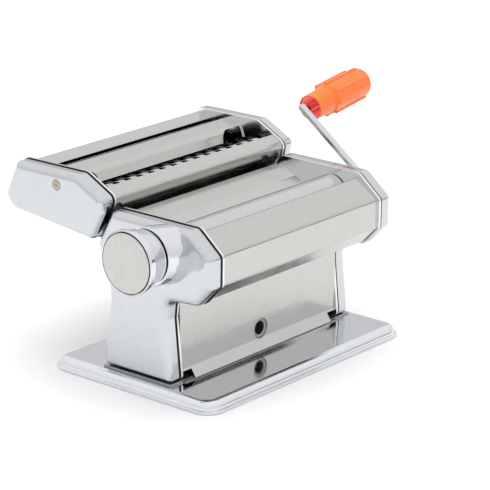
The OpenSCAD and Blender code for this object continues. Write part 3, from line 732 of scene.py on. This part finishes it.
def main_plates():
    plate("front_cover", "front_roller_cover", FRONT_COVER, FRAME_IN)
    notch = Shape().box((RAIL_X - 3.6, 21.4, 115), (RAIL_X + 3.6, 26.4, 130), 0.05)
    plate("hopper_plate", "hopper_rear_plate", HOPPER, FRAME_IN, [notch, notch.moved(MIRROR)])
    clamp_hole = Shape().lathe([(20, SOCKET_TUBE_R), (40, SOCKET_TUBE_R)], (0, 0), 64)
    aim = Matrix.Translation((0, 0, CLAMP_Z)) @ Matrix.Rotation(-pi / 2, 4, "Z")
    slot = Shape().box((BOLT_X - 5.5, -36, BASE_TOP + 1), (BOLT_X + 15.5, -16, BASE_TOP + 7), 0.05)
    plate("front_wall", "front_lower_wall", FRONT_WALL, FRAME_IN,
          [clamp_hole.moved(aim), slot, slot.moved(MIRROR)])
    plate("rear_wall", "rear_lower_wall", REAR_WALL, FRAME_IN)


def clamp_socket():
    """A tube along Y with a rolled rim at the front wall."""
    low, high = span("clamp_socket")
    y0, y1, r, bore = low.y, high.y, SOCKET_TUBE_R, 5.25
    profile = [(y1 - 2, bore), (y0 + 0.5, bore), (y0 + 0.1, bore + 0.5), (y0, bore + 1.1),
               (y0, r - 0.5), (y0 + 0.4, r), (y1 - 0.5, r), (y1, r - 0.5)]
    turn = Matrix.Translation((0, 0, CLAMP_Z)) @ Matrix.Rotation(pi / 2, 4, "Z")
    make("clamp_tube", "clamp_socket", Shape().lathe(profile, (0, 0), 64).moved(turn))


# ---- Rollers ----
def roller(x0, x1, r, journals):
    """A smooth roller with small chamfers, and a journal (end x, radius) at each end."""
    (left, left_r), (right, right_r) = journals
    edge = 0.4
    return [(left, left_r - edge), (left + edge, left_r), (x0, left_r), (x0, r - edge), (x0 + edge, r),
            (x1 - edge, r), (x1, r - edge), (x1, right_r), (right - edge, right_r),
            (right, right_r - edge)]


SOCKET_R = 4.15
SOCKET_L = 16


def smooth_rollers():
    """The sheeting pair. The front one has a socket and a keyway for the crank in its right end."""
    half = FRAME_IN - 0.8
    low, high = span("front_roller")
    journals = ((low.x, JOURNAL_R), (high.x, JOURNAL_R))
    front = Shape().lathe(roller(-half, half, ROLLER_R, journals), FRONT_AXIS, 128)
    bore = rod(high.x - SOCKET_L, high.x + 1, SOCKET_R, FRONT_AXIS)
    y, z = FRONT_AXIS
    key = Shape().box((high.x - SOCKET_L, y - 1.2, z), (high.x + 1, y + 1.2, z + 5.2), 0.05)
    make("front_roll", "front_roller", front, [bore, key])
    low, high = span("rear_roller")
    journals = ((low.x, JOURNAL_R), (high.x, JOURNAL_R))
    rear = Shape().lathe(roller(-half, half, ROLLER_R, journals), REAR_AXIS, 128)
    make("rear_roll", "rear_roller", rear)


# ---- Crank ----
ARM_LOW, ARM_HIGH = span("crank_arm")
ARM_W = 5
HUB_R = 5.2
TIP_L = 5.8


def arm_outline(margin):
    """A round hub about the roller's axis, and a bar with a round end beyond the grip's pin."""
    pin = PIN_PLACE.yz
    along = (pin - FRONT_AXIS).normalized()
    base = atan2(along.y, along.x)
    hub, bar = HUB_R - margin, ARM_W / 2 - margin
    end = pin + along * (TIP_L - ARM_W / 2)
    meet = asin(bar / hub)
    points = []
    for centre, r, a0, a1 in ((FRONT_AXIS, hub, meet, 2 * pi - meet), (end, bar, -pi / 2, pi / 2)):
        for i in range(33):
            a = base + a0 + (a1 - a0) * i / 32
            points.append(centre + r * Vector((cos(a), sin(a))))
    return points


def on_grip_axis(shape):
    """The same shape, drawn along X from the arm's far face, set on the leaning axis of the grip."""
    lean = Vector((1, 0, 0)).rotation_difference(PIN_DIRECTION).to_matrix().to_4x4()
    return shape.moved(Matrix.Translation(PIN_PLACE) @ lean)


PIN_R = 2.4
RIVET_R = 1.8
GRIP_AT, GRIP_L = 4.4, 76
COLLAR_L = 21


def crank():
    """The arm, its shaft with a key, and the grip's pin with its washer and thick bearing."""
    x0, x1 = ARM_LOW.x, ARM_HIGH.x
    bar = Shape().prism(arm_outline, x0, x1, 1.5, 5)
    hole = rod(x0 - 1, x1 + 1, 4, FRONT_AXIS)
    make("crank_bar", "crank_arm", bar, [hole])
    low, high = span("crank_shaft")
    r = 3.98
    shaft = Shape().lathe([(low.x, r - 0.6), (low.x + 0.6, r), (high.x - 0.6, r), (high.x - 0.1, r - 0.5),
                           (high.x, r - 1)], FRONT_AXIS, 48)
    y, z = FRONT_AXIS
    shaft.box((low.x + 1, y - 1, z), (low.x + 11, y + 1, z + 5), 0.25)
    make("crank_rod", "crank_shaft", shaft)
    end = GRIP_AT + GRIP_L - 14
    washer_r, bearing_r = 3.2, 4.1
    pin = [(-1, RIVET_R), (0.6, RIVET_R), (0.65, PIN_R), (1, PIN_R), (1.02, washer_r - 0.2),
           (1.2, washer_r), (1.8, washer_r), (2, washer_r - 0.2), (2.02, PIN_R),
           (GRIP_AT + COLLAR_L, PIN_R), (GRIP_AT + COLLAR_L + 2, bearing_r), (end - 4, bearing_r),
           (end - 4, PIN_R), (end - 0.5, PIN_R), (end, PIN_R - 0.5)]
    lacquer = metal("red_lacquer", rgb(0.6, 0.04, 0.03), 0.35)
    make("grip_rod", "grip_pin", on_grip_axis(Shape().lathe(pin, (0, 0), 48)), finish=lacquer)


def ridge(angle, count, half, flank):
    """1 on the crest of each of count ribs around a circle, and 0 between them."""
    pitch = 2 * pi / count
    away = abs((angle + pitch / 2) % pitch - pitch / 2)
    t = min(max((half + flank - away) / flank, 0), 1)
    return t * t * (3 - 2 * t)


NECK_R, CORE_R, RIB_R = 10.3, 12.3, 14
RIBS = 8


def handle_grip():
    """A moulded grip: a smooth collar with a deep hollow, then a ribbed body with a dome."""
    dome = 6
    hollow, bore = NECK_R - 1.6, 4.2
    inside = [(52, bore), (COLLAR_L - 1, bore), (COLLAR_L - 1, hollow - 0.8), (COLLAR_L - 1.8, hollow),
              (0.6, hollow), (0.1, hollow + 0.5)]
    collar = [(0, NECK_R - 0.6), (0.2, NECK_R - 0.2), (0.7, NECK_R), (19.6, NECK_R + 0.5),
              (21.4, NECK_R + 0.9), (22.4, CORE_R - 0.25), (23.4, CORE_R)]
    rib_from, rib_to = 22.4, 67.6
    edge = 0.8
    barrel = [(x, CORE_R) for x in (rib_from + edge, 30, 40, 50, 60, rib_to - edge, rib_to)]
    end = [(GRIP_L - dome + dome * sin(radians(9 * i)), CORE_R - dome + dome * cos(radians(9 * i)))
           for i in range(11)]
    rings, n = [], 320
    rib_half, rib_flank = radians(4.2), radians(1.8)
    for x, r in inside + collar + barrel + end + [(GRIP_L, 1.0)]:
        rise = min(max((x - rib_from) / edge, 0), 1) * min(max((rib_to - x) / edge, 0), 1)
        rise = rise if r > NECK_R + 0.6 else 0
        ring = []
        for i in range(n):
            a = 2 * pi * i / n
            rr = r + (RIB_R - r) * rise * ridge(a, RIBS, rib_half, rib_flank)
            ring.append((GRIP_AT + x, rr * cos(a), rr * sin(a)))
        rings.append(ring)
    grip = make("grip", "handle_grip", on_grip_axis(Shape().loft(rings)), crease=30)
    # The bright plates would mirror the grip.
    grip.visible_glossy = False


# ---- Knob ----
def on_left(profile):
    """A profile of (distance to the left, radius), as (x, radius)."""
    return [(-x, r) for x, r in profile]


RING_OUT = -span("index_ring")[0].x
RING_R = 22
RING_LEAN = Vector((-3.3, -2.5))
KNOB_IN = RING_OUT + 1
SHAFT_HOLE_R = 5.05  # the bore of the collar and the knob for the dial's shaft


def index_ring():
    """The collar. Its foot lies lower and further forward than its face, which has a groove."""
    rings = []
    foot = -span("index_ring")[1].x
    edge = [(RING_OUT - 1, RING_R), (RING_OUT - 0.55, RING_R - 0.12), (RING_OUT - 0.2, RING_R - 0.4),
            (RING_OUT, RING_R - 0.9)]
    floor_at, groove_out, groove_in = RING_OUT - 3.4, 18.1, 13.9
    groove = [(RING_OUT, groove_out), (floor_at, groove_out), (floor_at, groove_in),
              (RING_OUT, groove_in)]
    for x, r in [(foot, 10), (foot, RING_R), *edge, *groove, (RING_OUT, SHAFT_HOLE_R)]:
        lean = min((RING_OUT - x) / (RING_OUT - COVER_OUT), 1) if r == RING_R else 0
        centre = KNOB_AXIS + RING_LEAN * lean
        rings.append([(-x, *p) for p in circle(centre, r, 128)])
    bore = rod(-RING_OUT - 1, -foot + 1, SHAFT_HOLE_R, KNOB_AXIS)
    make("knob_collar", "index_ring", Shape().loft(rings), [bore])


def knob():
    """The turning part: it widens from its back to a rim, with the cap sunk in the face."""
    back_r = 20.2
    rim = KNOB_IN + 15
    well, hollow_r = KNOB_IN + 10, 9
    body = [(KNOB_IN + 8, SHAFT_HOLE_R), (KNOB_IN, SHAFT_HOLE_R), (KNOB_IN, back_r - 0.5),
            (KNOB_IN + 0.15, back_r - 0.1), (KNOB_IN + 0.5, back_r), (rim, KNOB_R - 0.25),
            (rim + 0.6, KNOB_R), (KNOB_FACE - 1.7, KNOB_R), (KNOB_FACE - 1.1, KNOB_R - 0.12),
            (KNOB_FACE - 0.75, KNOB_R - 0.45), (KNOB_FACE - 0.65, KNOB_R - 0.85),
            (KNOB_FACE - 0.9, KNOB_R - 1.1), (KNOB_FACE - 1.4, KNOB_R - 1.15),
            (KNOB_FACE - 1.4, hollow_r), (well, hollow_r), (well, SHAFT_HOLE_R)]
    make("knob_grip", "knob_body", Shape().lathe(on_left(body), KNOB_AXIS, 160, around=True))
    disc_r = KNOB_R - 1.35
    crown, flat_r, steps = 0.45, disc_r - 0.5, 8
    cap = [(KNOB_FACE - 3, 8.5), (KNOB_FACE - 1.4, 8.9), (KNOB_FACE - 1.35, disc_r - 0.2),
           (KNOB_FACE - 1.15, disc_r), (KNOB_FACE - 0.8, disc_r - 0.05), (KNOB_FACE - crown, flat_r)]
    cap += [(KNOB_FACE - crown * (1 - i / steps) ** 2, flat_r * (1 - i / steps) + 0.4)
            for i in range(1, steps + 1)]
    make("knob_disc", "knob_cap", Shape().lathe(on_left(cap), KNOB_AXIS, 128))


def knob_spring():
    """A coil spring about the dial's shaft."""
    low, high = span("knob_spring")
    coils, wire, r, around, sides = 3, 0.6, 7, 40, 10
    length = high.x - low.x - 2 * wire
    rings = []
    for i in range(coils * around + 1):
        a = 2 * pi * i / around
        x = low.x + wire + length * i / (coils * around)
        out = Vector((0, cos(a), sin(a)))
        centre = Vector((x, *KNOB_AXIS)) + out * r
        rings.append([centre + wire * (cos(b) * out + sin(b) * Vector((1, 0, 0)))
                      for b in (2 * pi * k / sides for k in range(sides))])
    make("spring_coil", "knob_spring", Shape().loft(rings))


# ---- Cutter head ----
REAR_PLATE = [(127.8, 126, 0), (113.8, 151.7, 3), (105.6, 144.8, 1.6), (106.2, 141.6, 0)]
MIDDLE_PLATE = [(88, 143.5, 0), (86.9, 149.4, 1.2), (70.1, 145.7, 5), (66.7, 136.6, 0)]
FRONT_PLATE = [(37.4, 144.2, 0), (27, 138.4, 5), (29.5, 127, 8), (40.2, 106.6, 0)]
CUTTER_SCREW = (73, 142)
CUT_JOURNAL_R = 5.2
CUT_AXES = {name: axis_of(name + "_roller")
            for name in ("wide_front", "wide_rear", "fine_front", "fine_rear")}


def end_window():
    """What is cut from the middle plate's lip at its right end, all but a narrow flange."""
    inner, top, outer = 68, 145.6, CUT_IN - 1.3
    line = bent_line([(inner, 130, 0), (inner + 5, top, 8), (outer, top, 0), (outer, 130, 0)], 10)
    return Shape().loft([[(x, y, z) for x, z in line] for y in (60, 71)])


def cutter_shell():
    """The cutter head's frames, gaskets, covers, screws and three plates."""
    frame_plate = Shape().prism(frame_outline(CUTTER), CUT_IN, CUT_OUT, FRAME_EDGE)
    holes = [rod(CUT_IN - 1, CUT_OUT + 1, CUT_JOURNAL_R + 0.1, c) for c in CUT_AXES.values()]
    make_pair("cutter_frame_plate", "cutter_{}_frame", frame_plate, holes)
    gaskets("cutter_gasket_ring", "cutter_{}_gasket", CUTTER, CUT_OUT, CUT_COVER_IN, 2.6)
    place = (CUTTER, CUT_COVER_IN, CUT_COVER_OUT, 6)
    sockets = [rod(CUT_COVER_IN, CUT_COVER_OUT + 1, 7, CUT_AXES[n]) for n in ("wide_front", "fine_front")]
    # Both cutter covers carry painted shade around their screw.
    screw_shaded = metal("screw_shade_chrome", CHROME, 0.09, wave_depth=0.03, tint=screw_dip_painted_shade)
    make("cutter_cover_right", "cutter_right_cover", pan(*place, gap=RIGHT_GAP), sockets, finish=screw_shaded)
    make("cutter_cover_left", "cutter_left_cover", pan(*place).moved(MIRROR), finish=screw_shaded)
    screws("cutter_screws", "cutter_cover_screws", CUT_COVER_OUT + 0.1, [CUTTER_SCREW], SCREW_R, True)
    # The rear plate's steel carries painted shade on its lip.
    lip_shaded = metal("lip_shade_steel", STEEL, 0.15, grain=ALONG_X, wave_depth=0.02, tint=lip_painted_shade)
    plate("cutter_plate_rear", "cutter_rear_plate", REAR_PLATE, CUT_IN, finish=lip_shaded)
    window = end_window()
    plate("cutter_plate_middle", "cutter_middle_plate", MIDDLE_PLATE, CUT_IN,
          [window, window.moved(MIRROR)])
    plate("cutter_plate_front", "cutter_front_plate", FRONT_PLATE, CUT_IN)


def grooved(name, node, count, land_first, depth, socket, land):
    """A cutting roller: count lands and grooves of a ribbon's width, by turns.

    depth is the grooves' depth, land the colour of the lands. socket adds one for the crank.
    """
    low, high = span(node)
    short = node.removesuffix("_roller")
    centre = CUT_AXES[short]
    r = high.z - centre.y
    body = CUT_IN - 0.7
    half = body - 2
    pitch = 2 * half / count
    core = r - depth
    profile = [(low.x, CUT_JOURNAL_R - 0.4), (low.x + 0.4, CUT_JOURNAL_R), (-body, CUT_JOURNAL_R),
               (-body, core)]
    fit, edge = 0.12, 0.08
    for i in range(count):
        if (i % 2 == 0) == land_first:
            x0, x1 = -half + i * pitch + fit, -half + (i + 1) * pitch - fit
            profile += [(x0, core), (x0, r - edge), (x0 + edge, r), (x1 - edge, r), (x1, r - edge),
                        (x1, core)]
    profile += [(body, core), (body, CUT_JOURNAL_R), (high.x - 0.4, CUT_JOURNAL_R),
                (high.x, CUT_JOURNAL_R - 0.4)]
    cuts = [rod(high.x - SOCKET_L, high.x + 1, SOCKET_R, centre)] if socket else []
    finish = grooved_steel(short, r - 0.9, land)
    make(name, node, Shape().lathe(profile, centre, 96), cuts, finish=finish)


def cutting_rollers():
    """Two pairs. The lands of a pair's rear roller run in the grooves of its front roller."""
    wide, fine = 29, 91
    wide_depth, fine_depth = 4.2, 4
    # All rollers but the wide front one get lands painted almost black: painted shade inside the head.
    bright, shade_dark_land = rgb(0.7, 0.7, 0.7), rgb(0.045, 0.045, 0.045)
    grooved("wide_roll_front", "wide_front_roller", wide, False, wide_depth, True, bright)
    grooved("wide_roll_rear", "wide_rear_roller", wide, True, wide_depth, False, shade_dark_land)
    grooved("fine_roll_front", "fine_front_roller", fine, False, fine_depth, True, shade_dark_land)
    grooved("fine_roll_rear", "fine_rear_roller", fine, True, fine_depth, False, shade_dark_land)


# ---- CAD nodes that stay: a finish for each ----
def finish_cad_nodes():
    """Gives each visible CAD node the finish of its slot."""
    for node, obj in frame["nodes"].items():
        if obj.hide_render:
            continue
        obj.data.materials.clear()
        obj.data.materials.append(MATERIALS[SLOT[node]])


# ---- Studio ----
AZIMUTH, ELEVATION, ROLL = 49.949, 17.946, 0.186
TARGET = Vector((43.6, 21.9, 69.0)) * MM
DISTANCE = 1.8816
LENS = 178.8


def camera():
    """The camera looks along AZIMUTH, down by ELEVATION, at TARGET from DISTANCE."""
    azimuth, elevation = radians(AZIMUTH), radians(ELEVATION)
    back = Vector((-sin(azimuth) * cos(elevation), -cos(azimuth) * cos(elevation), sin(elevation)))
    right = Matrix.Rotation(radians(ROLL), 3, back) @ Vector((cos(azimuth), -sin(azimuth), 0))
    up = back.cross(right)
    data = bpy.data.cameras.new("camera")
    data.lens = LENS
    obj = bpy.data.objects.new("camera", data)
    bpy.context.scene.collection.objects.link(obj)
    turn = Matrix((right, up, back)).transposed().to_4x4()
    obj.matrix_world = Matrix.Translation(TARGET + back * DISTANCE) @ turn
    bpy.context.scene.camera = obj


def floor():
    """A sheet of white paper, just under the feet."""
    half, z = 4.0, -0.0002
    mesh = bpy.data.meshes.new("floor")
    corners = [(-half, -half, z), (half, -half, z), (half, half, z), (-half, half, z)]
    mesh.from_pydata(corners, [], [(0, 1, 2, 3)])
    obj = bpy.data.objects.new("floor", mesh)
    bpy.context.scene.collection.objects.link(obj)
    m = Nodes("floor_paper")
    paper = m.blend(m.noise(3, 2), rgb(0.86, 0.86, 0.865), rgb(0.88, 0.88, 0.88))
    m.set(m.shader.inputs["Base Color"], paper)
    m.shader.inputs["Roughness"].default_value = 0.9
    mesh.materials.append(m.material)


def area_light(name, place, aim, size, power):
    data = bpy.data.lights.new(name, "AREA")
    data.shape, data.size, data.size_y, data.energy = "RECTANGLE", size[0], size[1], power
    obj = bpy.data.objects.new(name, data)
    bpy.context.scene.collection.objects.link(obj)
    obj.location = place
    obj.rotation_mode = "QUATERNION"
    obj.rotation_quaternion = (Vector(aim) - Vector(place)).to_track_quat("-Z", "Y")
    # The bright plates would mirror the light's square.
    obj.visible_glossy = False


def world():
    """A white studio, a little darker below, with two flags that the metal mirrors.

    A small dark flag stands in front, and a wide and faint one behind. The camera itself sees plain
    white around the object.
    """
    scene_world = bpy.data.worlds.new("studio")
    bpy.context.scene.world = scene_world
    scene_world.use_nodes = True
    tree = scene_world.node_tree
    tree.nodes.clear()

    def add(kind, **settings):
        node = tree.nodes.new("ShaderNode" + kind)
        for key, value in settings.items():
            setattr(node, key, value)
        return node

    place = add("TexCoord")
    split = add("SeparateXYZ")
    tree.links.new(place.outputs["Generated"], split.inputs[0])
    ramp = add("ValToRGB")
    stops = [(0.0, 0.9), (0.15, 0.88), (0.4, 0.97), (0.55, 1.02), (0.75, 1.05), (1.0, 1.08)]
    elements = ramp.color_ramp.elements
    while len(elements) < len(stops):
        elements.new(0.5)
    for element, (at, value) in zip(elements, stops):
        element.position = at
        element.color = (value, value, value * 1.01, 1)
    tree.links.new(split.outputs["Z"], ramp.inputs["Fac"])
    light = ramp.outputs["Color"]
    front_flag = ((0.735, -0.675, 0.02), 4, 5, 0.15)
    rear_flag = ((0.735, 0.63, 0.24), 8, 21, 0.74)
    for aim, inner, outer, left_over in (front_flag, rear_flag):
        toward = add("VectorMath", operation="DOT_PRODUCT")
        tree.links.new(place.outputs["Generated"], toward.inputs[0])
        toward.inputs[1].default_value = Vector(aim).normalized()
        shadow = add("MapRange")
        tree.links.new(toward.outputs["Value"], shadow.inputs["Value"])
        shadow.inputs["From Min"].default_value = cos(radians(outer))
        shadow.inputs["From Max"].default_value = cos(radians(inner))
        shadow.inputs["To Min"].default_value = 1
        shadow.inputs["To Max"].default_value = left_over
        dim = add("VectorMath", operation="SCALE")
        tree.links.new(light, dim.inputs[0])
        tree.links.new(shadow.outputs["Result"], dim.inputs["Scale"])
        light = dim.outputs[0]
    background = add("Background")
    tree.links.new(light, background.inputs["Color"])
    plain = add("Background")
    plain.inputs["Color"].default_value = (1, 1, 1, 1)
    path = add("LightPath")
    mix = add("MixShader")
    tree.links.new(path.outputs["Is Camera Ray"], mix.inputs["Fac"])
    tree.links.new(background.outputs[0], mix.inputs[1])
    tree.links.new(plain.outputs[0], mix.inputs[2])
    output = add("OutputWorld")
    tree.links.new(mix.outputs[0], output.inputs["Surface"])


def studio():
    bpy.context.scene.view_settings.view_transform = "Standard"
    camera()
    floor()
    world()
    area_light("top", (0.3, 0.3, 2.2), (0, 0, 0), (2.4, 2.4), 25)
    area_light("left", (-1.9, -0.6, 1.6), (0, 0, 0.05), (1.6, 1.6), 8)


base_plate()
rubber_feet()
foot_strips()
frame_bolts()
cover_parts()
main_plates()
clamp_socket()
smooth_rollers()
crank()
handle_grip()
index_ring()
knob()
knob_spring()
cutter_shell()
cutting_rollers()
finish_cad_nodes()
studio()
